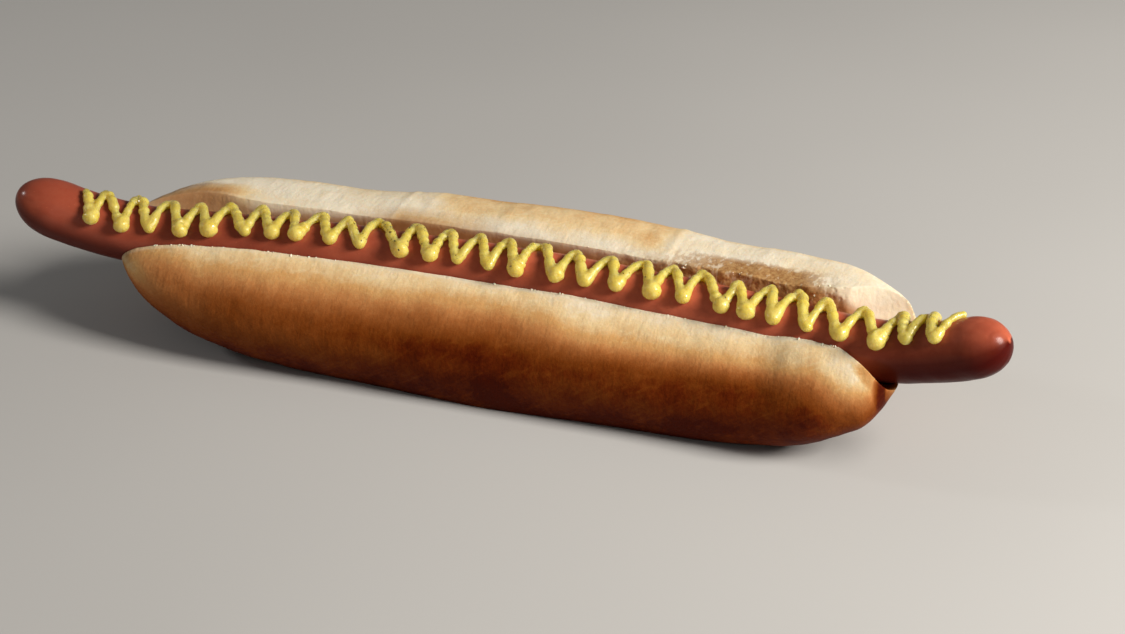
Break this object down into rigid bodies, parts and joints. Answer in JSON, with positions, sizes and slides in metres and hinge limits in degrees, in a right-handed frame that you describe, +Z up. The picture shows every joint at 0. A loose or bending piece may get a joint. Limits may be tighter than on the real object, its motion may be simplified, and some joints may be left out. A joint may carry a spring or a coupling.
{
  "type": "hot dog",
  "caption": "Long hot dog: a thin curved sausage in a soft bun cut open along its top, with a zigzag bead of mustard on the sausage.",
  "frame": {"origin": "on the table under the middle of the whole hot dog's bounding box", "axes": "+X along the sausage, to the blunt end; +Y towards the taller back wall of the bun; +Z up"},
  "size_m": [0.3033, 0.0721, 0.0468],
  "materials": {
    "bun_crust": "baked crust, cream at the cut to golden brown below",
    "bun_crumb": "torn open bread crumb, matt",
    "sausage_skin": "smooth moist skin",
    "mustard": "smooth wet sauce",
    "mustard_herb": "small dark flecks in the mustard"
  },
  "bodies": {
    "root": {"bun": "bun_crust", "sausage": "sausage_skin"}
  },
  "joints": []
}
